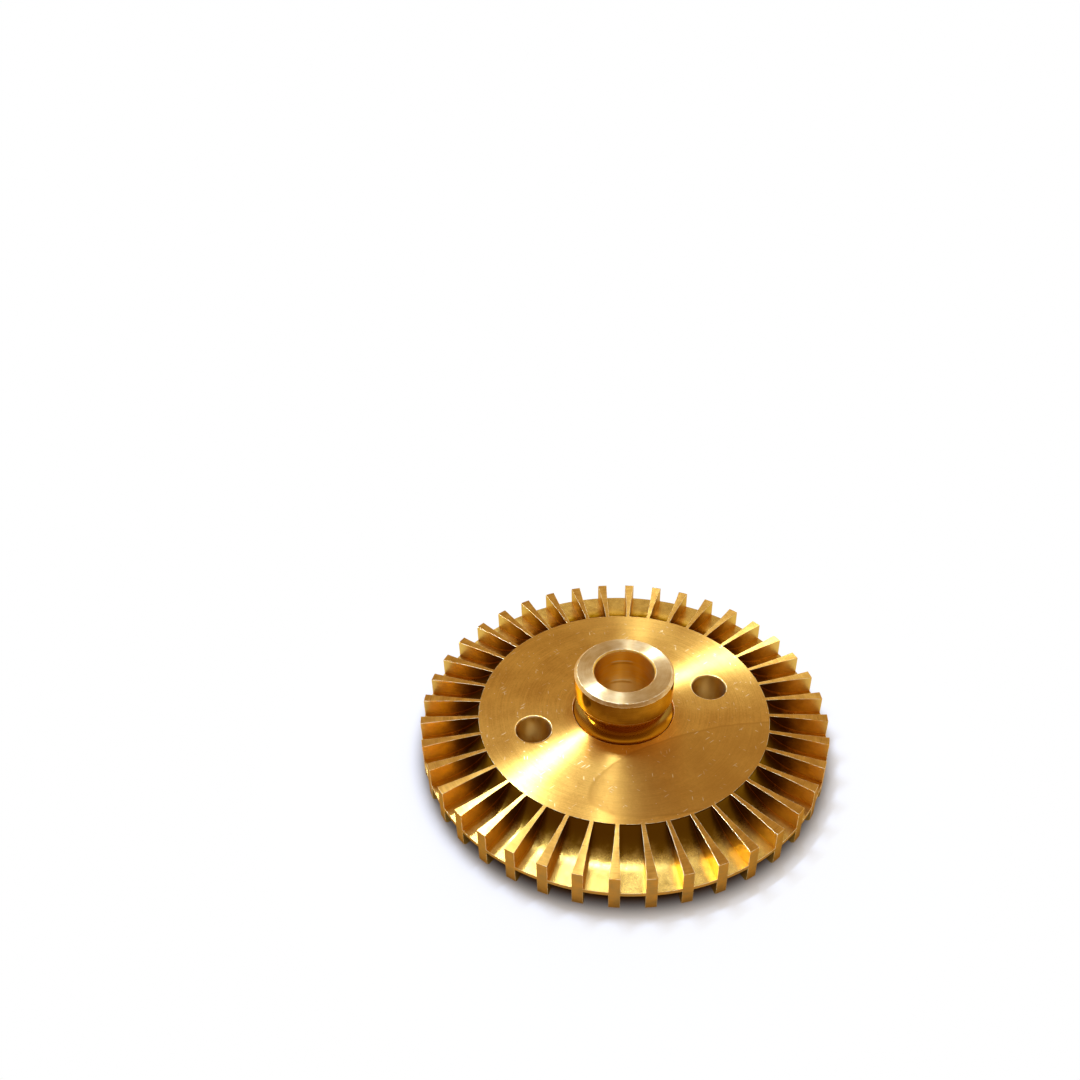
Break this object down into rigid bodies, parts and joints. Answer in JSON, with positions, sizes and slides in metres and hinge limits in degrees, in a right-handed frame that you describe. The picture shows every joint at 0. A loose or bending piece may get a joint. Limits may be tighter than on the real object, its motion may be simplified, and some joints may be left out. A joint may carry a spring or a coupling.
{
  "type": "pump impeller",
  "caption": "Brass impeller of a peripheral pump: flat disc with radial vanes between pockets round both faces of the rim, a boss with a tapered foot, a through bore and side holes.",
  "frame": {"origin": "centre of the flat underside, on the axis of the bore", "axes": "+Z along the bore towards the boss; the two side holes lie on the X axis"},
  "size_m": [0.096, 0.096, 0.0216],
  "materials": {
    "brass": "turned faces, smooth pockets"
  },
  "bodies": {
    "root": {"impeller": "brass"}
  },
  "joints": []
}
